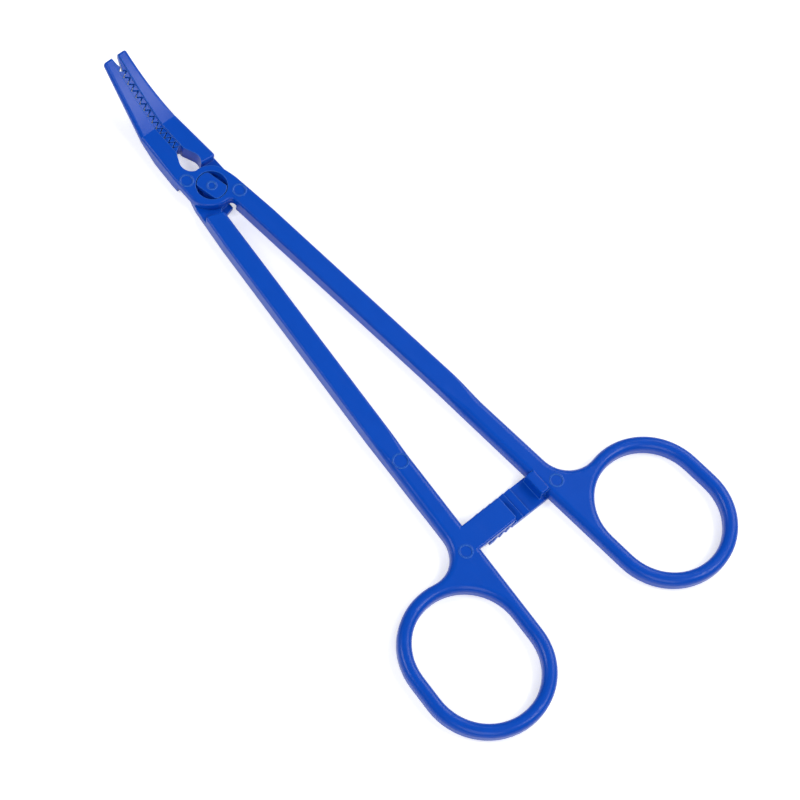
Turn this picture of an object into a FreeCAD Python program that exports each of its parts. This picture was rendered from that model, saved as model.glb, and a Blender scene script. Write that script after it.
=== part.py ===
import FreeCAD, Part

import math
import os
import re

import Sketcher

# Haemostatic forceps moulded in plastic: two crossed halves with curved, toothed jaws, finger rings
# and a ratchet, joined by a stud that turns in the eye of the other half.
#
# Frame: the pivot axis is Z, the forceps lie on the plane Z = 0, the rings lie towards +X and the
# jaws towards -X. The halves stand as in the photograph, each turned as far from the XZ plane as
# the other. The eye half has its ring on the +Y side, the stud half on the -Y side.

SIZES = (
    ("thickness", "4.6", "height of jaws, shanks and rings"),
    ("layer_gap", "0.1", "height between the two layers at the pivot"),
    ("jaw_reach", "38.5", "pivot to jaw tip"),
    ("tip_gap", "0.95", "midline to inner corner of the tip"),
    ("tip_width", "2.5", "width of the tip"),
    ("tip_depth", "2.2", "height of the tip's end face"),
    ("tip_rise", "10.05", "rise of the tip above the flat top"),
    ("crease_reach", "20.5", "pivot to the line where the jaw turns up"),
    ("crease_half", "5.5", "midline to outer edge at that line"),
    ("base_reach", "7.2", "pivot to widest place of the jaw"),
    ("base_half", "6.25", "midline to outer edge there"),
    ("taper_radius", "160", "hollow curve of the jaw's outer edge"),
    ("upper_radius", "87", "curve of the jaw's top"),
    ("under_radius", "70", "curve of the jaw's underside"),
    ("under_reach", "15", "pivot to where the underside leaves the table"),
    ("bite_line", "1.1", "midline to the foot of the jaw's teeth"),
    ("tooth_height", "1.5", "jaw tooth from foot to crest"),
    ("tooth_pitch", "1.64", "distance between jaw teeth"),
    ("first_tooth", "13.28", "pivot to the eye half's first jaw tooth"),
    ("tooth_drop", "0.5", "step from the jaw's top down to its teeth"),
    ("tooth_flat", "0.12", "width of a tooth's crest"),
    ("tooth_web", "0.1", "jaw tooth's foot to the bottom of the gap"),
    ("lip_run", "0.55", "last jaw tooth's foot to the lip beyond it"),
    ("lip_half", "0.05", "midline to the near end of that lip"),
    ("lip_back", "1.8", "jaw's tip to the lip's far end"),
    ("tooth_back", "3.2", "jaw's tip to the eye half's last jaw tooth, at least"),
    ("lip_rest", "0.45", "midline to the lip's far end"),
    ("window_reach", "12.3", "pivot to the window's far corner"),
    ("window_floor", "2.3", "midline to the window's floor"),
    ("window_turn", "9.7", "pivot to the start of the window's round end"),
    ("window_radius", "3.0", "round end of the window"),
    ("window_angle", "186", "direction where the window meets the eye"),
    ("eye_radius", "5.5", "round end of each half at the pivot"),
    ("heel_angle", "-2", "direction where the heel meets the eye"),
    ("crotch_angle", "20", "direction where the shank's inner edge leaves the eye"),
    ("crotch_radius", "1.5", "hollow curve from the eye to the shank's inner edge"),
    ("crown_angle", "107", "direction where the shank's outer edge leaves the eye"),
    ("root_reach", "2.2", "first bend of the shank's outer edge"),
    ("root_half", "6.45", "midline to that bend"),
    ("neck_reach", "14", "second bend of the shank's outer edge"),
    ("neck_half", "7.95", "midline to that bend"),
    ("grip_reach", "75", "end of the straight shank"),
    ("grip_inner", "8.18", "midline to the inner edge there"),
    ("grip_outer", "13.67", "midline to the outer edge there"),
    ("step_run", "10", "length of the step in the outer edge"),
    ("step_outer", "14.38", "midline to the outer edge there"),
    ("grip_turn", "5.1", "slope of the grip's outer edge, degrees"),
    ("flare_radius", "8.0", "hollow curve from the grip into the ring"),
    ("ring_reach", "131.6", "pivot to middle of the ring"),
    ("ring_offset", "29.46", "midline to middle of the ring"),
    ("ring_turn", "4.3", "slope of the ring's straight sides, degrees"),
    ("ring_straight", "6.5", "length of the ring's straight sides"),
    ("opening_radius", "13.3", "round ends of the ring's opening"),
    ("bow_width", "3.5", "width of the ring's bow"),
    ("ring_round", "1.6", "rounding of ring and grip"),
    ("shank_round", "0.6", "rounding of the shank, the heel and the recess's rim"),
    ("jaw_round", "0.8", "rounding of the jaw's outer edges"),
    ("tip_round", "0.5", "rounding of the jaw's end"),
    ("jaw_wall", "6.45", "pivot to the recess's wall on the stud half's jaw, at the midline"),
    ("under_wall", "5.92", "the same on the eye half's jaw"),
    ("jaw_lean", "5.3", "lean of those walls, degrees"),
    ("shank_wall", "7.9", "pivot to the recess's wall on the shank, at the midline"),
    ("shank_lean", "18.4", "lean of that wall, degrees"),
    ("wall_corner", "0.8", "round corners of the stud half's walls"),
    ("gusset_near", "6.75", "pivot to the low gusset between the stud half's disc and shank"),
    ("gusset_side", "1.5", "midline to that gusset's end"),
    ("gusset_far", "7.6", "pivot to the gusset's corner on the shank"),
    ("gusset_rise", "1.3", "height of the gusset"),
    ("bore_radius", "3.95", "round well in the eye"),
    ("web_height", "0.85", "floor of the well"),
    ("neck_radius", "2.2", "stud's neck, which turns in the floor"),
    ("neck_play", "0.05", "clearance round the neck"),
    ("head_radius", "3.75", "round ends of the stud's head"),
    ("head_half", "2.3", "middle to flat of the stud's head"),
    ("head_corner", "0.9", "round corners of the head"),
    ("head_turn", "13.4", "direction of the flats, degrees"),
    ("head_play", "0.1", "height between the head and the floor"),
    ("head_sink", "0.1", "head's top below the eye's top"),
    ("dimple_radius", "0.9", "dimple in the head"),
    ("dimple_depth", "0.15", "depth of that dimple"),
    ("dimple_rim", "1.3", "outer radius of the raised ring round the dimple"),
    ("arm_reach", "104.7", "pivot to the near edge of the lower ratchet arm"),
    ("arm_width", "7.5", "width of the lower arm"),
    ("upper_reach", "105.2", "pivot to the near edge of the upper arm"),
    ("upper_width", "6.9", "width of the upper arm"),
    ("arm_plate", "1.5", "plate of a ratchet arm without its teeth"),
    ("arm_root", "12.6", "midline to the arm's root inside the grip"),
    ("upper_arm_end", "0.6", "free end of the upper arm past the midline"),
    ("lower_arm_end", "7.4", "free end of the lower arm past the midline"),
    ("click_pitch", "2.05", "distance between ratchet teeth"),
    ("click_height", "0.7", "ratchet tooth"),
    ("click_count", "6", "ratchet teeth on the lower arm"),
    ("upper_count", "5", "ratchet teeth on the upper arm"),
    ("first_click", "5.1", "midline to the crest of the lower arm's first tooth"),
    ("stop_near", "9.3", "midline to the near side of the stop"),
    ("stop_far", "11.9", "midline to the far side of the stop"),
    ("stop_inset", "0.6", "arm's near edge to the stop"),
    ("stop_length", "5.9", "length of the stop along the arm's width"),
    ("stop_rise", "0.4", "stop's top above the grip's top"),
    ("click_lean", "0.2", "lean of a ratchet tooth's steep face"),
    ("corner_round", "0.9", "round free corner of the upper arm"),
    ("arm_round", "0.5", "rounding of the upper arm's long edges"),
    ("stop_round", "0.35", "rounding of the stop's top"),
    ("notch_start", "-0.1", "midline to the first notch in the lower arm's far edge"),
    ("notch_depth", "0.3", "depth of those notches"),
    ("notch_count", "3", "notches"),
    ("mark_radius", "1.75", "raised ring left by an ejector pin"),
    ("mark_line", "0.3", "width of that ring"),
    ("mark_height", "0.12", "height of that ring"),
    ("mark_sink", "0.1", "disc inside that ring, below the flat"),
    ("mark_root_x", "5.1", "ejector ring on the eye half's shank"),
    ("mark_root_y", "4.6", ""),
    ("mark_jaw_x", "4.7", "ejector ring on the eye half's jaw"),
    ("mark_jaw_y", "4.1", ""),
    ("mark_grip_x", "110.7", "ejector ring on each grip"),
    ("mark_grip_y", "14.6", ""),
    ("badge_x", "83.9", "larger plain ring on the stud half's shank"),
    ("badge_y", "11.6", ""),
    ("badge_radius", "2.0", "outer radius of that ring"),
)

PLACES = (
    ("layer_low", "thickness/2 - layer_gap/2", "top of the lower layer"),
    ("layer_high", "thickness/2 + layer_gap/2", "underside of the upper layer"),
    ("web_top", "layer_high + web_height", "floor of the well"),
    ("head_low", "web_top + head_play", "underside of the stud's head"),
    ("tooth_count", "floor((jaw_reach - tooth_back - first_tooth)/tooth_pitch) + 1",
     "teeth on the eye half's jaw; the other has one fewer"),
    ("step_reach", "grip_reach + step_run", "pivot to the end of the step in the outer edge"),
    ("crest_line", "tooth_height - bite_line", "crests of the jaw's teeth past the midline"),
    ("tip_outer", "tip_gap + tip_width", "midline to outer corner of the tip"),
    ("tip_top", "thickness + tip_rise", "top of the tip"),
    ("tip_under", "tip_top - tip_depth", "underside of the tip"),
    ("heel_radius", "(base_half + eye_radius*sin(heel_angle))/(1 + sin(heel_angle))", "curve of the heel"),
    ("heel_reach", "(heel_radius - eye_radius)*cos(heel_angle)", "pivot to the start of that curve"),
    ("shank_run", "grip_reach - eye_radius*cos(crotch_angle)", "run of the shank's inner edge"),
    ("shank_rise", "grip_inner - eye_radius*sin(crotch_angle)", "its rise"),
    ("shank_cos", "shank_run/sqrt(shank_run^2 + shank_rise^2)", "its direction"),
    ("shank_sin", "shank_rise/sqrt(shank_run^2 + shank_rise^2)", ""),
    ("crotch_side", "eye_radius*(sin(crotch_angle)*shank_cos - cos(crotch_angle)*shank_sin) - crotch_radius",
     "pivot to the crotch curve's centre, across that edge"),
    ("crotch_run", "sqrt((eye_radius + crotch_radius)^2 - crotch_side^2)", "the same along that edge"),
    ("crotch_x", "crotch_run*shank_cos - crotch_side*shank_sin", "centre of the crotch curve"),
    ("crotch_y", "crotch_run*shank_sin + crotch_side*shank_cos", ""),
    ("eye_share", "eye_radius/(eye_radius + crotch_radius)", "where the crotch curve leaves the eye"),
    ("inner_x", "crotch_x - crotch_radius*shank_sin", "where it meets the shank's inner edge"),
    ("inner_y", "crotch_y + crotch_radius*shank_cos", ""),
    ("neck_edge", "inner_y + (gusset_far - inner_x)*shank_sin/shank_cos",
     "midline to the shank's inner edge at the gusset"),
    ("recess_half", "neck_half + 1", "midline to the recess's ends, outside the half"),
    ("head_line", "sqrt((head_radius - head_corner)^2 - (head_half - head_corner)^2)",
     "half of the head's straight sides"),
    ("head_share", "head_radius/(head_radius - head_corner)", "where the head's corners end"),
    ("ring_outer", "opening_radius + bow_width", "outer radius of the ring"),
    ("near_x", "ring_reach - ring_straight/2*cos(ring_turn)", "middle of the ring's near end"),
    ("near_y", "ring_offset - ring_straight/2*sin(ring_turn)", ""),
    ("far_x", "ring_reach + ring_straight/2*cos(ring_turn)", "middle of the ring's far end"),
    ("far_y", "ring_offset + ring_straight/2*sin(ring_turn)", ""),
    ("flare_far", "(near_x - step_reach)*cos(grip_turn) + (near_y - step_outer)*sin(grip_turn)",
     "ring's near end along the grip's outer edge"),
    ("flare_rise", "(near_y - step_outer)*cos(grip_turn) - (near_x - step_reach)*sin(grip_turn)",
     "ring's near end away from that edge"),
    ("flare_run", "flare_far - sqrt((ring_outer + flare_radius)^2 - (flare_rise - flare_radius)^2)",
     "where the flare leaves that edge"),
    ("flare_x", "step_reach + flare_run*cos(grip_turn)", "start of the flare"),
    ("flare_y", "step_outer + flare_run*sin(grip_turn)", ""),
    ("hollow_x", "flare_x - flare_radius*sin(grip_turn)", "centre of the flare"),
    ("hollow_y", "flare_y + flare_radius*cos(grip_turn)", ""),
    ("merge_x", "hollow_x + (near_x - hollow_x)*flare_radius/(ring_outer + flare_radius)",
     "where the flare meets the ring"),
    ("merge_y", "hollow_y + (near_y - hollow_y)*flare_radius/(ring_outer + flare_radius)", ""),
)

SAME = 0.001

doc = FreeCAD.newDocument("HaemostaticForceps")


def fill_sheet(name, rows):
    """Sheet with one row for each value: its name, the value or formula, and what it is."""
    sheet = doc.addObject("Spreadsheet::Sheet", name)
    for line, (alias, content, note) in enumerate(rows, 1):
        sheet.set(f"A{line}", alias)
        sheet.set(f"B{line}", content)
        sheet.setAlias(f"B{line}", alias)
        sheet.set(f"C{line}", note)
    return sheet


def formula(text):
    """The text with each value's name led by the name of its sheet."""
    for sheet_name, rows in (("Sizes", SIZES), ("Places", PLACES)):
        for alias, _, _ in rows:
            text = re.sub(rf"(?<![\w.]){alias}\b", f"{sheet_name}.{alias}", text)
    return text


sizes = fill_sheet("Sizes", SIZES)
places = fill_sheet("Places", [(alias, "=" + formula(text), note) for alias, text, note in PLACES])
doc.recompute()


def number(text):
    """What a formula comes to now."""
    return float(places.evalExpression(formula(text)))


def new_sketch(body, name, plane, height="0"):
    """Sketch on one of the body's own planes, lifted along the plane's normal."""
    sketch = body.newObject("Sketcher::SketchObject", name)
    support = [item for item in body.Origin.OriginFeatures if item.Role == plane]
    sketch.AttachmentSupport = [(support[0], "")]
    sketch.MapMode = "FlatFace"
    sketch.setExpression(".AttachmentOffset.Base.z", formula(height))
    return sketch


def arc_between(start, end, radius, turn):
    """The shorter arc from start to end; turn is 1 to the left and -1 to the right."""
    chord = end - start
    reach = math.sqrt(max(radius ** 2 - chord.Length ** 2 / 4, 0.0))
    side = FreeCAD.Vector(-chord.y, chord.x, 0).normalize() * turn
    centre = (start + end) / 2 + side * reach
    circle = Part.Circle(centre, FreeCAD.Vector(0, 0, 1), radius)
    first, last = (start, end) if turn > 0 else (end, start)
    return Part.ArcOfCircle(circle, circle.parameter(first), circle.parameter(last))


def draw_loop(sketch, corners, side=1):
    """Closed outline; a corner is (x, y) or (x, y, radius, turn), where an arc leads to the next.

    The side is -1 for a half that mirrors the outline. Each corner is held by its two distances.
    """
    points = [FreeCAD.Vector(number(c[0]), side * number(c[1]), 0) for c in corners]
    first = sketch.GeometryCount
    for k, corner in enumerate(corners):
        start = points[k]
        end = points[(k + 1) % len(points)]
        if len(corner) == 2:
            index = sketch.addGeometry(Part.LineSegment(start, end), False)
            start_end = 1
        else:
            turn = side * corner[3]
            index = sketch.addGeometry(arc_between(start, end, number(corner[2]), turn), False)
            start_end = 1 if turn > 0 else 2
            radius = sketch.addConstraint(Sketcher.Constraint("Radius", index, number(corner[2])))
            sketch.setExpression(f"Constraints[{radius}]", formula(corner[2]))
        hold_point(sketch, index, start_end, corner[0], corner[1], side)
    for k, corner in enumerate(corners):
        after = (k + 1) % len(corners)
        far_end = 1 if len(corner) == 4 and side * corner[3] < 0 else 2
        next_start = 2 if len(corners[after]) == 4 and side * corners[after][3] < 0 else 1
        sketch.addConstraint(
            Sketcher.Constraint("Coincident", first + k, far_end, first + after, next_start))


def hold_point(sketch, index, end, across, up, side=1):
    """Distances from the sketch's origin to one end of an edge, or to the centre of a circle."""
    for kind, text, sign in (("DistanceX", across, 1), ("DistanceY", up, side)):
        value = sign * number(text)
        held = sketch.addConstraint(Sketcher.Constraint(kind, -1, 1, index, end, value))
        sketch.setExpression(f"Constraints[{held}]", f"{sign}*({formula(text)})")


def draw_circle(sketch, across, up, radius, side=1):
    """Circle held by its centre and radius."""
    centre = FreeCAD.Vector(number(across), side * number(up), 0)
    circle = Part.Circle(centre, FreeCAD.Vector(0, 0, 1), number(radius))
    index = sketch.addGeometry(circle, False)
    hold_point(sketch, index, 3, across, up, side)
    held = sketch.addConstraint(Sketcher.Constraint("Radius", index, number(radius)))
    sketch.setExpression(f"Constraints[{held}]", formula(radius))


def extrude(body, kind, name, sketch, length, side_type="One side", away=False):
    """Pad or pocket of a sketch."""
    feature = body.newObject(f"PartDesign::{kind}", name)
    feature.Profile = sketch
    feature.SideType = side_type
    feature.setExpression("Length", formula(length))
    feature.Reversed = away
    doc.recompute()
    return feature


def half_outline(first, count):
    """Plan of the eye half, anticlockwise from the inner corner of the jaw's tip."""
    return (
        ("-jaw_reach", "-tip_gap"),
        ("-jaw_reach", "-tip_outer", "taper_radius", -1),
        ("-crease_reach", "-crease_half"),
        ("-base_reach", "-base_half"),
        ("-heel_reach", "-base_half", "heel_radius", 1),
        ("eye_radius*cos(heel_angle)", "eye_radius*sin(heel_angle)", "eye_radius", 1),
        ("crotch_x*eye_share", "crotch_y*eye_share", "crotch_radius", -1),
        ("inner_x", "inner_y"),
        ("grip_reach", "grip_inner"),
        ("step_reach", "grip_inner + step_run*tan(ring_turn)"),
        ("far_x + ring_outer*sin(ring_turn)", "far_y - ring_outer*cos(ring_turn)", "ring_outer", 1),
        ("far_x + ring_outer*cos(ring_turn)", "far_y + ring_outer*sin(ring_turn)", "ring_outer", 1),
        ("far_x - ring_outer*sin(ring_turn)", "far_y + ring_outer*cos(ring_turn)"),
        ("near_x - ring_outer*sin(ring_turn)", "near_y + ring_outer*cos(ring_turn)", "ring_outer", 1),
        ("merge_x", "merge_y", "flare_radius", -1),
        ("flare_x", "flare_y"),
        ("step_reach", "step_outer"),
        ("grip_reach", "grip_outer"),
        ("neck_reach", "neck_half"),
        ("root_reach", "root_half"),
        ("eye_radius*cos(crown_angle)", "eye_radius*sin(crown_angle)", "eye_radius", 1),
        ("eye_radius*cos(window_angle)", "eye_radius*sin(window_angle)", "window_radius", -1),
        ("-window_turn", "-window_floor"),
        ("-window_reach", "-bite_line"),
        (f"tooth_pitch/2 - ({first})", "-bite_line"),
        (f"tooth_flat/2 - ({first})", "crest_line"),
        (f"-tooth_flat/2 - ({first}) - ({count} - 1)*tooth_pitch", "crest_line"),
        (f"-tooth_pitch/2 - ({first}) - ({count} - 1)*tooth_pitch", "-bite_line"),
        (f"-tooth_pitch/2 - ({first}) - ({count} - 1)*tooth_pitch - lip_run", "-lip_half"),
        ("lip_back - jaw_reach", "-lip_rest"),
    )


def ring_opening():
    """The finger ring's opening: two round ends and two straight sides."""
    return (
        ("far_x + opening_radius*sin(ring_turn)", "far_y - opening_radius*cos(ring_turn)",
         "opening_radius", 1),
        ("far_x + opening_radius*cos(ring_turn)", "far_y + opening_radius*sin(ring_turn)",
         "opening_radius", 1),
        ("far_x - opening_radius*sin(ring_turn)", "far_y + opening_radius*cos(ring_turn)"),
        ("near_x - opening_radius*sin(ring_turn)", "near_y + opening_radius*cos(ring_turn)",
         "opening_radius", 1),
        ("near_x - opening_radius*cos(ring_turn)", "near_y - opening_radius*sin(ring_turn)",
         "opening_radius", 1),
        ("near_x + opening_radius*sin(ring_turn)", "near_y - opening_radius*cos(ring_turn)"),
    )


def side_profile(top_drop, under_rise):
    """Side view of a half: flat from the rings to the crease, then curved up to the jaw's tip."""
    end = "far_x + ring_outer + 1"
    return (
        (end, f"thickness - {top_drop}"),
        ("-crease_reach", f"thickness - {top_drop}", "upper_radius", -1),
        ("-jaw_reach - 1", f"tip_top - {top_drop} + 0.7"),
        ("-jaw_reach - 1", f"tip_under + {under_rise} + 0.7", "under_radius", 1),
        ("-under_reach", under_rise),
        (end, under_rise),
    )


def blank(body, side, first, count):
    """Side view carried across, then cut to the plan."""
    profile = new_sketch(body, "SideView", "XZ_Plane")
    draw_loop(profile, side_profile("0", "0"))
    extrude(body, "Pad", "Blank", profile, "2*(far_y + ring_outer + 1)", "Symmetric")
    plan = new_sketch(body, "Plan", "XY_Plane", "-1")
    near, far, wide = "-jaw_reach - 2", "far_x + ring_outer + 2", "far_y + ring_outer + 2"
    draw_loop(plan, ((near, f"-({wide})"), (far, f"-({wide})"), (far, wide), (near, wide)))
    draw_loop(plan, half_outline(first, count), side)
    draw_loop(plan, ring_opening(), side)
    extrude(body, "Pocket", "Waste", plan, "tip_top + 3", away=True)


def rounding(start, middle, end, side):
    """First and last radius for an edge of a blank, by where it lies, or nothing."""
    ring = number("ring_round")
    shank = number("shank_round")
    jaw = number("jaw_round")
    base = number("-base_reach")
    level = abs(start.z - end.z) + abs(start.z - middle.z) < SAME
    on_top = level and abs(middle.z - number("thickness")) < SAME
    below = level and abs(middle.z) < SAME
    if on_top or below:
        if middle.x > number("step_reach"):
            return ring, ring
        if middle.x > number("grip_reach"):
            return shank, ring
        if middle.x > number("neck_reach"):
            return shank, shank
        if on_top and middle.x > base and (side < 0 or middle.y < middle.x / 2):
            return shank, shank
        if on_top and middle.x > number("-crease_reach") and middle.y < number("-crease_half"):
            return jaw, jaw
        return None
    upright = abs(start.x - end.x) + abs(start.y - end.y) < SAME
    if side < 0 and upright and abs(min(start.z, end.z) - number("layer_low")) < SAME:
        corner = number("wall_corner") if middle.x > 0 or middle.y < base / 2 else 0
        return (corner, corner) if corner else None
    outside = abs(middle.y) > number("tip_gap + tip_width/4")
    if outside and middle.x < number("-jaw_reach") + SAME:
        return number("tip_round"), number("tip_round")
    if outside and middle.x < number("-under_reach") and abs(start.x - end.x) > number("tip_width"):
        return jaw, jaw
    return None


def round_edges(name, base, side):
    """Blank with its long edges rounded; the side is -1 for the half that is mirrored."""
    rounded = doc.addObject("Part::Fillet", name)
    rounded.Base = base
    edges = []
    for index, edge in enumerate(base.Shape.Edges, 1):
        start = edge.firstVertex(True).Point
        middle = edge.valueAt(sum(edge.ParameterRange) / 2)
        end = edge.lastVertex(True).Point
        middle.y *= side
        radii = rounding(start, middle, end, side)
        if radii:
            edges.append((index, *(radii if start.x < end.x else radii[::-1])))
    rounded.Edges = edges
    doc.recompute()
    return rounded


def soften(body, name, radius, wanted):
    """Fillet of each edge whose two ends and middle are all wanted."""
    base = body.Tip
    picked = []
    for index, edge in enumerate(base.Shape.Edges, 1):
        low, high = edge.ParameterRange
        if all(wanted(edge.valueAt(place)) for place in (low, (low + high) / 2, high)):
            picked.append(f"Edge{index}")
    fillet = body.newObject("PartDesign::Fillet", name)
    fillet.Base = (base, picked)
    fillet.setExpression("Radius", formula(radius))
    doc.recompute()


def recess(body, side, height, jaw_wall, away):
    """Cut one layer away round the pivot, up to a wall on the jaw and one on the shank."""
    sketch = new_sketch(body, "RecessPlan", "XY_Plane", height)
    jaw_lean, shank_lean = "recess_half*tan(jaw_lean)", "recess_half*tan(shank_lean)"
    draw_loop(sketch, (
        (f"shank_wall - {shank_lean}", "-recess_half"), (f"shank_wall + {shank_lean}", "recess_half"),
        (f"{jaw_lean} - {jaw_wall}", "recess_half"), (f"-{jaw_lean} - {jaw_wall}", "-recess_half"),
    ), -side)
    extrude(body, "Pocket", "Recess", sketch, "thickness", away=away)


def flats(radius, half, turn):
    """Round outline cut by two flats, turned by an angle."""
    reach = f"sqrt(({radius})^2 - ({half})^2)"
    corners = []
    for along, across, arc in ((1, 1, False), (-1, 1, True), (-1, -1, False), (1, -1, True)):
        x = f"{along}*{reach}*cos({turn}) - {across}*({half})*sin({turn})"
        y = f"{along}*{reach}*sin({turn}) + {across}*({half})*cos({turn})"
        corners.append((x, y, radius, 1) if arc else (x, y))
    return corners


def head_outline():
    """Outline of the stud's head: round ends, straight sides and round corners, turned."""
    run, side, radius = "head_line", "(head_half - head_corner)", "head_radius"
    corners = []
    for along, across, arc in (
            (run, "head_half", None), (f"-{run}", "head_half", "head_corner"),
            (f"-{run}*head_share", f"{side}*head_share", radius),
            (f"-{run}*head_share", f"-{side}*head_share", "head_corner"),
            (f"-{run}", "-head_half", None), (run, "-head_half", "head_corner"),
            (f"{run}*head_share", f"-{side}*head_share", radius),
            (f"{run}*head_share", f"{side}*head_share", "head_corner")):
        x = f"({along})*cos(head_turn) - ({across})*sin(head_turn)"
        y = f"({along})*sin(head_turn) + ({across})*cos(head_turn)"
        corners.append((x, y, arc, 1) if arc else (x, y))
    return corners


def raised_ring(body, side, name, x, y, radius, level="thickness"):
    """Thin raised ring on a flat top."""
    sketch = new_sketch(body, name, "XY_Plane", level)
    draw_circle(sketch, x, y, radius, side)
    draw_circle(sketch, x, y, f"{radius} - mark_line", side)
    extrude(body, "Pad", f"{name}Pad", sketch, "mark_height")


def pin_mark(body, side, name, x, y, radius="mark_radius"):
    """Raised ring and the sunk disc inside it, as an ejector pin leaves them."""
    raised_ring(body, side, name, x, y, radius)
    sketch = new_sketch(body, f"{name}Disc", "XY_Plane", "thickness")
    draw_circle(sketch, x, y, f"{radius} - mark_line", side)
    extrude(body, "Pocket", f"{name}Sink", sketch, "mark_sink")


def cut_teeth(body, side, first, count):
    """Lower the strip that bears the jaw's teeth, then cut the gaps between them."""
    strip = new_sketch(body, "StripSide", "XZ_Plane", f"{side}*bite_line")
    draw_loop(strip, (
        ("-window_reach", "thickness - tooth_drop"),
        ("-crease_reach", "thickness - tooth_drop", "upper_radius", -1),
        ("-jaw_reach - 1", "tip_top - tooth_drop + 0.7"),
        ("-jaw_reach - 1", "tip_top + 3"),
        ("-window_reach", "tip_top + 3"),
    ))
    extrude(body, "Pocket", "Strip", strip, "bite_line + crest_line + 1", away=side < 0)
    middle = f"-tooth_pitch/2 - ({first})"
    half = "(tooth_pitch - tooth_flat)/2"
    gap = new_sketch(body, "ToothGap", "XY_Plane", "-1")
    draw_loop(gap, (
        (f"{middle} - {half}", "crest_line"),
        (middle, "tooth_web - bite_line"),
        (f"{middle} + {half}", "crest_line"),
        (f"{middle} + {half}", "crest_line + 0.5"),
        (f"{middle} - {half}", "crest_line + 0.5"),
    ), side)
    cut = extrude(body, "Pocket", "Gap", gap, "tip_top + 3", away=True)
    repeat(body, "Teeth", cut, "X_Axis", "tooth_pitch", f"{count} - 1")


def repeat(body, name, feature, axis, pitch, count):
    """Row of a feature along an axis, away from its positive end."""
    row = body.newObject("PartDesign::LinearPattern", name)
    row.Originals = [feature]
    line = [item for item in body.Origin.OriginFeatures if item.Role == axis]
    row.Direction = (line[0], [""])
    row.Reversed = True
    row.Mode = "Spacing"
    row.setExpression("Offset", formula(pitch))
    row.setExpression("Occurrences", formula(count))
    body.Tip = row
    doc.recompute()


def ratchet_teeth(body, near, width, crest, foot, count, lean, start):
    """Row of saw teeth across a ratchet arm."""
    tooth = new_sketch(body, "Click", "YZ_Plane", near)
    draw_loop(tooth, (
        (f"{start} + {lean}*click_lean", foot),
        (start, crest),
        (f"{start} - {lean}*(click_pitch - click_lean)", foot),
    ))
    pad = extrude(body, "Pad", "ClickPad", tooth, width)
    repeat(body, "Clicks", pad, "Y_Axis", "click_pitch", count)


def box_pad(body, name, height, length, x_near, x_far, y_near, y_far):
    """Rectangular pad standing on a level."""
    sketch = new_sketch(body, name, "XY_Plane", height)
    draw_loop(sketch, ((x_near, y_near), (x_far, y_near), (x_far, y_far), (x_near, y_far)))
    extrude(body, "Pad", f"{name}Pad", sketch, length)


def start_body(node, side, first, count):
    """Body of a half that goes on from its rounded blank, with its jaw's teeth."""
    blank_body = doc.addObject("PartDesign::Body", f"{node}_blank")
    blank(blank_body, side, first, count)
    if side < 0:
        recess(blank_body, side, "layer_low", "jaw_wall", True)
    rounded = round_edges(f"{node}_rounded", blank_body, side)
    body = doc.addObject("PartDesign::Body", node)
    body.Label = node
    body.BaseFeature = rounded
    doc.recompute()
    cut_teeth(body, side, first, count)
    return body


def eye_half():
    """Half with the eye in the upper layer, the lower ratchet arm and the stop."""
    body = start_body("eye_half", 1, "first_tooth", "tooth_count")
    recess(body, 1, "layer_high", "under_wall", False)
    well = new_sketch(body, "WellRound", "XY_Plane", "web_top")
    draw_circle(well, "0", "0", "bore_radius")
    extrude(body, "Pocket", "Well", well, "thickness", away=True)
    hole = new_sketch(body, "NeckRound", "XY_Plane")
    draw_circle(hole, "0", "0", "neck_radius + neck_play")
    extrude(body, "Pocket", "NeckHole", hole, "thickness", away=True)
    key = new_sketch(body, "KeySlot", "XY_Plane")
    draw_loop(key, flats("bore_radius", "head_half + neck_play", "head_turn + 90"))
    extrude(body, "Pocket", "Key", key, "thickness", away=True)
    box_pad(body, "Arm", "0", "arm_plate", "arm_reach", "arm_reach + arm_width", "-lower_arm_end", "arm_root")
    ratchet_teeth(body, "arm_reach", "arm_width", "arm_plate + click_height", "arm_plate", "click_count", 1,
                  "first_click")
    notch = new_sketch(body, "Notch", "XY_Plane", "-1")
    far, start, stop = "arm_reach + arm_width", "notch_start", "notch_start - click_pitch + notch_depth"
    draw_loop(notch, ((far, start), (f"{far} - notch_depth", f"{start} - notch_depth"), (far, stop),
                      (f"{far} + 1", stop), (f"{far} + 1", start)))
    cut = extrude(body, "Pocket", "NotchCut", notch, "thickness", away=True)
    repeat(body, "Notches", cut, "Y_Axis", "click_pitch", "notch_count")
    box_pad(body, "Stop", "0", "thickness + stop_rise", "arm_reach + stop_inset",
            "arm_reach + stop_inset + stop_length", "stop_near", "stop_far")
    crown = number("thickness + stop_rise") - SAME
    soften(body, "StopRound", "stop_round", lambda spot: spot.x > 0 and spot.z > crown)
    pin_mark(body, 1, "RootMark", "mark_root_x", "mark_root_y")
    pin_mark(body, 1, "JawMark", "-mark_jaw_x", "-mark_jaw_y")
    pin_mark(body, 1, "GripMark", "mark_grip_x", "mark_grip_y")
    return body


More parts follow.
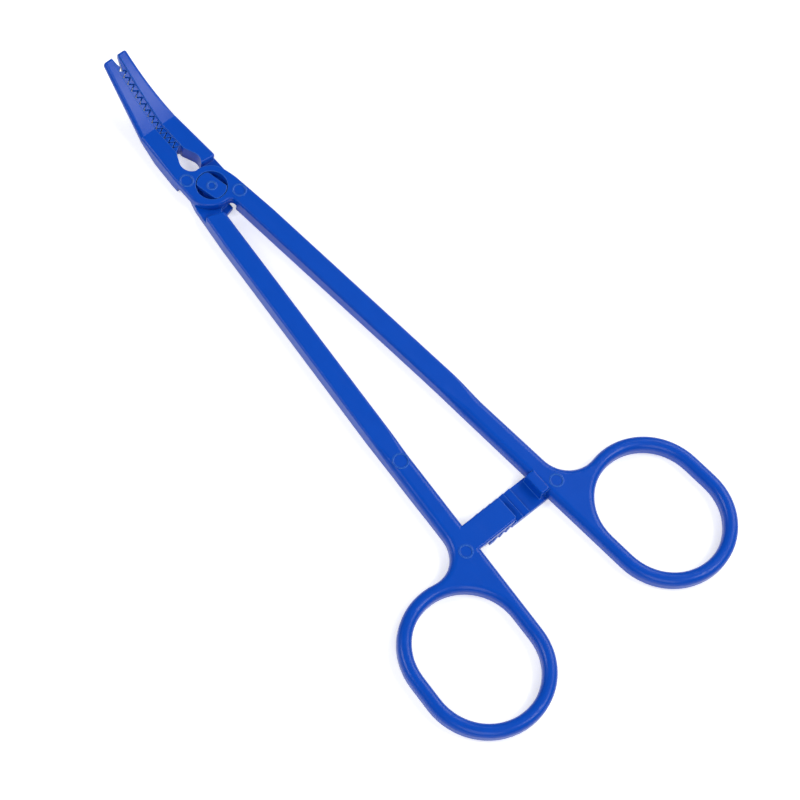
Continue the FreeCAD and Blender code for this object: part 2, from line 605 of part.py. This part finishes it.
def stud_half():
    """Half with the stud in the lower layer and the upper ratchet arm."""
    body = start_body("stud_half", -1, "first_tooth + tooth_pitch/2", "(tooth_count - 1)")
    gusset = new_sketch(body, "GussetPlan", "XY_Plane")
    draw_loop(gusset, (("0", "-gusset_side"), ("gusset_near", "-gusset_side"),
                       ("gusset_far", "neck_edge"), ("0", "neck_edge")), -1)
    extrude(body, "Pad", "Gusset", gusset, "gusset_rise")
    neck = new_sketch(body, "NeckRound", "XY_Plane", "layer_low")
    draw_circle(neck, "0", "0", "neck_radius")
    extrude(body, "Pad", "Neck", neck, "head_low - layer_low")
    head = new_sketch(body, "HeadOutline", "XY_Plane", "head_low")
    draw_loop(head, head_outline())
    extrude(body, "Pad", "Head", head, "thickness - head_sink - head_low")
    dimple = new_sketch(body, "DimpleRound", "XY_Plane", "thickness - head_sink")
    draw_circle(dimple, "0", "0", "dimple_radius")
    extrude(body, "Pocket", "Dimple", dimple, "dimple_depth")
    raised_ring(body, -1, "DimpleRim", "0", "0", "dimple_rim", "thickness - head_sink")
    near, far, low = "upper_reach", "upper_reach + upper_width", "thickness - arm_plate"
    arm = new_sketch(body, "ArmSide", "XZ_Plane", "-upper_arm_end")
    draw_loop(arm, (
        (near, low), (far, low), (far, "thickness - arm_round", "arm_round", 1),
        (f"{far} - arm_round", "thickness"), (f"{near} + arm_round", "thickness", "arm_round", 1),
        (near, "thickness - arm_round")))
    extrude(body, "Pad", "Arm", arm, "upper_arm_end + arm_root")
    ratchet_teeth(body, near, "upper_width", f"{low} - click_height", low, "upper_count", -1,
                  "upper_arm_end - click_pitch + click_lean")
    corner = new_sketch(body, "FreeCorner", "XY_Plane", "thickness + 1")
    draw_loop(corner, (
        (far, "upper_arm_end - corner_round"), (f"{far} + 1", "upper_arm_end - corner_round"),
        (f"{far} + 1", "upper_arm_end + 1"), (f"{far} - corner_round", "upper_arm_end + 1"),
        (f"{far} - corner_round", "upper_arm_end", "corner_round", -1)))
    extrude(body, "Pocket", "FreeCornerCut", corner, "thickness")
    pin_mark(body, -1, "GripMark", "mark_grip_x", "mark_grip_y")
    pin_mark(body, -1, "Badge", "badge_x", "badge_y", "badge_radius")
    return body


nodes = [eye_half(), stud_half()]
doc.recompute()
faults = [item.Name for item in doc.Objects if {"Invalid", "Error"} & set(item.State)]
for item in nodes:
    if item.Shape.isNull() or not item.Shape.isValid() or len(item.Shape.Solids) != 1:
        faults.append(item.Label)
if faults:
    raise SystemExit("failed objects: " + ", ".join(faults))
os.makedirs("parts", exist_ok=True)
for item in nodes:
    item.Shape.exportStep(os.path.join("parts", item.Label + ".step"))
    print(item.Label, "volume", round(item.Shape.Volume, 1), "box", item.Shape.BoundBox)
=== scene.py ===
import bmesh
import bpy
from mathutils import Matrix, Vector

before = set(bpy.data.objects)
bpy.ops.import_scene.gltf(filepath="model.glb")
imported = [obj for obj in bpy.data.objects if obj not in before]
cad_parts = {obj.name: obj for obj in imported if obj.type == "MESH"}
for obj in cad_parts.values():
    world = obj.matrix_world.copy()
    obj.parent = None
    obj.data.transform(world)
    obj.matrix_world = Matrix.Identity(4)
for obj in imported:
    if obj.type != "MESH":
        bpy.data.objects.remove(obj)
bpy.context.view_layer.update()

# The two halves
# Haemostatic forceps, injection moulded in one opaque blue plastic. Each half is a single moulding
# with its jaw, shank, ring and ratchet arm, and the stud of one half snaps into the eye of the other.


def shader_group(name, inputs, outputs):
    """Empty node group with named float, colour or vector sockets."""
    group = bpy.data.node_groups.new(name, "ShaderNodeTree")
    for label, kind, value in inputs:
        socket = group.interface.new_socket(label, in_out="INPUT", socket_type=kind)
        if value is not None:
            socket.default_value = value
    for label, kind in outputs:
        group.interface.new_socket(label, in_out="OUTPUT", socket_type=kind)
    return group


def add_node(tree, kind, links=None, **settings):
    """Node with its properties set and its inputs joined to sockets or given values."""
    node = tree.nodes.new(kind)
    for key, value in settings.items():
        setattr(node, key, value)
    for key, value in (links or {}).items():
        if isinstance(value, bpy.types.NodeSocket):
            tree.links.new(value, node.inputs[key])
        else:
            node.inputs[key].default_value = value
    return node


def mix_colours(tree, factor, first, second):
    """Colour socket between two colours, each given as a socket or as numbers."""
    node = tree.nodes.new("ShaderNodeMix")
    node.data_type = "RGBA"
    for socket, value in ((node.inputs[0], factor), (node.inputs[6], first), (node.inputs[7], second)):
        if isinstance(value, bpy.types.NodeSocket):
            tree.links.new(value, socket)
        else:
            socket.default_value = value
    return node.outputs[2]


def ramp_stops(node, stops):
    """Colour ramp from (position, grey) pairs."""
    elements = node.color_ramp.elements
    while len(elements) < len(stops):
        elements.new(0.5)
    for element, (position, grey) in zip(elements, stops):
        element.position = position
        element.color = (grey, grey, grey, 1)


# Moulding marks shared by both halves: a fine spark-eroded grain, soft sink marks where the plastic
# is thick, and short rubbed streaks from lying loose with others in a bag.

mould_marks = shader_group(
    "mould_marks",
    [("Grain scale", "NodeSocketFloat", 1900.0), ("Sink scale", "NodeSocketFloat", 60.0)],
    [("Grain", "NodeSocketFloat"), ("Sink", "NodeSocketFloat"), ("Rub", "NodeSocketFloat"),
     ("Clouds", "NodeSocketFloat")],
)
tree = mould_marks
given = tree.nodes.new("NodeGroupInput")
place = add_node(tree, "ShaderNodeTexCoord").outputs["Object"]
grain = add_node(tree, "ShaderNodeTexNoise",
                 {"Vector": place, "Scale": given.outputs["Grain scale"], "Detail": 2.0, "Roughness": 0.6})
sink = add_node(tree, "ShaderNodeTexNoise",
                {"Vector": place, "Scale": given.outputs["Sink scale"], "Detail": 2.5, "Roughness": 0.5})
stretched = add_node(tree, "ShaderNodeMapping", {"Vector": place, "Scale": (90.0, 900.0, 900.0),
                                                 "Rotation": (0.0, 0.0, 0.35)})
streaks = add_node(tree, "ShaderNodeTexNoise",
                   {"Vector": stretched.outputs[0], "Scale": 1.0, "Detail": 3.0, "Roughness": 0.65})
rub = add_node(tree, "ShaderNodeValToRGB", {"Fac": streaks.outputs["Fac"]})
ramp_stops(rub, [(0.56, 0.0), (0.72, 1.0)])
clouds = add_node(tree, "ShaderNodeTexNoise",
                  {"Vector": place, "Scale": 240.0, "Detail": 4.0, "Roughness": 0.6})
given_back = tree.nodes.new("NodeGroupOutput")
tree.links.new(grain.outputs["Fac"], given_back.inputs["Grain"])
tree.links.new(sink.outputs["Fac"], given_back.inputs["Sink"])
tree.links.new(rub.outputs["Color"], given_back.inputs["Rub"])
tree.links.new(clouds.outputs["Fac"], given_back.inputs["Clouds"])


edge_softening = 0.00028


def blue_plastic(name):
    """Satin moulded plastic, faintly clouded, with a painted highlight: paler blue along every edge."""
    material = bpy.data.materials.new(name)
    material.use_nodes = True
    nodes = material.node_tree
    shader = nodes.nodes["Principled BSDF"]
    marks = add_node(nodes, "ShaderNodeGroup", node_tree=mould_marks)
    surface = add_node(nodes, "ShaderNodeNewGeometry")
    softened = add_node(nodes, "ShaderNodeBevel", {"Radius": edge_softening}, samples=8)
    facing = add_node(nodes, "ShaderNodeVectorMath",
                      {0: softened.outputs[0], 1: surface.outputs["Normal"]}, operation="DOT_PRODUCT")
    # Painted highlight: a mask of every edge, where the softened normal turns away from the face.
    edge_highlight_mask = add_node(nodes, "ShaderNodeValToRGB", {"Fac": facing.outputs["Value"]})
    ramp_stops(edge_highlight_mask, [(0.80, 1.0), (0.985, 0.0)])
    shade = mix_colours(nodes, marks.outputs["Clouds"], (0.0, 0.068, 0.50, 1), (0.0, 0.079, 0.56, 1))
    # The painted edge highlight mixes the base blue towards a pale blue, as if the rounded edges caught the
    # lamps.
    painted_edge_highlight = add_node(nodes, "ShaderNodeMath", {0: edge_highlight_mask.outputs["Color"], 1: 0.8}, operation="MULTIPLY")
    colour = mix_colours(nodes, painted_edge_highlight.outputs[0], shade, (0.07, 0.26, 0.80, 1))
    nodes.links.new(colour, shader.inputs["Base Color"])
    gloss = add_node(nodes, "ShaderNodeMapRange",
                     {"Value": marks.outputs["Rub"], "To Min": 0.28, "To Max": 0.34})
    nodes.links.new(gloss.outputs[0], shader.inputs["Roughness"])
    fine = add_node(nodes, "ShaderNodeBump",
                    {"Height": marks.outputs["Grain"], "Strength": 0.12, "Distance": 0.00006,
                     "Normal": softened.outputs[0]})
    broad = add_node(nodes, "ShaderNodeBump",
                     {"Height": marks.outputs["Sink"], "Strength": 0.25, "Distance": 0.0006,
                      "Normal": fine.outputs[0]})
    nodes.links.new(broad.outputs[0], shader.inputs["Normal"])
    shader.inputs["IOR"].default_value = 1.43
    shader.inputs["Specular IOR Level"].default_value = 0.33
    return material


halves = blue_plastic("satin_blue_plastic")
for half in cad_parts.values():
    half.data.materials.clear()
    half.data.materials.append(halves)

# The table
# White paper that the forceps lie on, with nothing else in view. A glow of its own, for the lens and
# in reflections, keeps it white up to the soft shadows.

table_z = 0.0
table_half = 3.0
paper_glow = 0.5
paper = bpy.data.materials.new("white_paper")
paper.use_nodes = True
paper_nodes = paper.node_tree
paper_shader = paper_nodes.nodes["Principled BSDF"]
paper_shader.inputs["Base Color"].default_value = (0.9, 0.9, 0.9, 1)
paper_shader.inputs["Roughness"].default_value = 0.9
paper_shader.inputs["Specular IOR Level"].default_value = 0.1
seen = add_node(paper_nodes, "ShaderNodeLightPath")
direct = add_node(paper_nodes, "ShaderNodeMath",
                  {0: seen.outputs["Is Camera Ray"], 1: seen.outputs["Is Glossy Ray"]}, operation="ADD")
through = add_node(paper_nodes, "ShaderNodeMath",
                   {0: direct.outputs[0], 1: seen.outputs["Is Transmission Ray"]}, operation="ADD")
glow = add_node(paper_nodes, "ShaderNodeMath", {0: through.outputs[0], 1: paper_glow}, operation="MULTIPLY")
paper_shader.inputs["Emission Color"].default_value = (1, 1, 1, 1)
paper_nodes.links.new(glow.outputs[0], paper_shader.inputs["Emission Strength"])
sheet = bmesh.new()
bmesh.ops.create_grid(sheet, x_segments=1, y_segments=1, size=table_half,
                          matrix=Matrix.Translation((0, 0, table_z)))
sheet_mesh = bpy.data.meshes.new("table")
sheet.to_mesh(sheet_mesh)
sheet.free()
sheet_mesh.materials.append(paper)
table = bpy.data.objects.new("table", sheet_mesh)
bpy.context.scene.collection.objects.link(table)

# Light
# Four softboxes round the forceps in a dim room. None stands where its light would glance off the
# flat tops into the lens, so these keep their deep blue.

room_level = 0.15
world = bpy.data.worlds.new("white_room")
world.use_nodes = True
world.node_tree.nodes["Background"].inputs["Color"].default_value = (1, 1, 1, 1)
world.node_tree.nodes["Background"].inputs["Strength"].default_value = room_level
bpy.context.scene.world = world


def softbox(name, place, aim, width, height, power):
    """Rectangular lamp at a place, facing a point."""
    lamp = bpy.data.lights.new(name, "AREA")
    lamp.shape = "RECTANGLE"
    lamp.size = width
    lamp.size_y = height
    lamp.energy = power
    stand = bpy.data.objects.new(name, lamp)
    stand.location = place
    stand.rotation_mode = "QUATERNION"
    stand.rotation_quaternion = (Vector(aim) - Vector(place)).to_track_quat("-Z", "Y")
    bpy.context.scene.collection.objects.link(stand)


middle = (0.06, 0.0, 0.0)
softbox("softbox_jaws", (0.61, 0.42, 0.92), middle, 0.35, 0.35, 3.3)
softbox("softbox_left", (-0.52, -0.67, 0.74), middle, 0.45, 0.45, 4.0)
softbox("softbox_near", (0.75, -0.54, 0.74), middle, 0.7, 0.7, 4.2)
softbox("softbox_right", (0.06, 0.88, 0.74), middle, 0.7, 0.7, 5.2)

# Camera
# Long lens above the rings' side, with the forceps lying across the frame from corner to corner.

camera_place = Vector((0.22683, -0.24583, 0.60972))
camera_right = Vector((0.6538, 0.7448, 0.1337)).normalized()
camera_forward = Vector((-0.2309, 0.3645, -0.9021)).normalized()
camera_up = camera_right.cross(camera_forward)
camera_right = camera_forward.cross(camera_up)
lens = bpy.data.cameras.new("camera")
lens.sensor_width = 36.0
lens.lens = 126.52
lens.clip_start = 0.01
lens.clip_end = 20.0
camera = bpy.data.objects.new("camera", lens)
turn = Matrix((camera_right, camera_up, -camera_forward)).transposed()
camera.matrix_world = Matrix.Translation(camera_place) @ turn.to_4x4()
bpy.context.scene.collection.objects.link(camera)
bpy.context.scene.camera = camera

bpy.context.scene.view_settings.view_transform = "Standard"
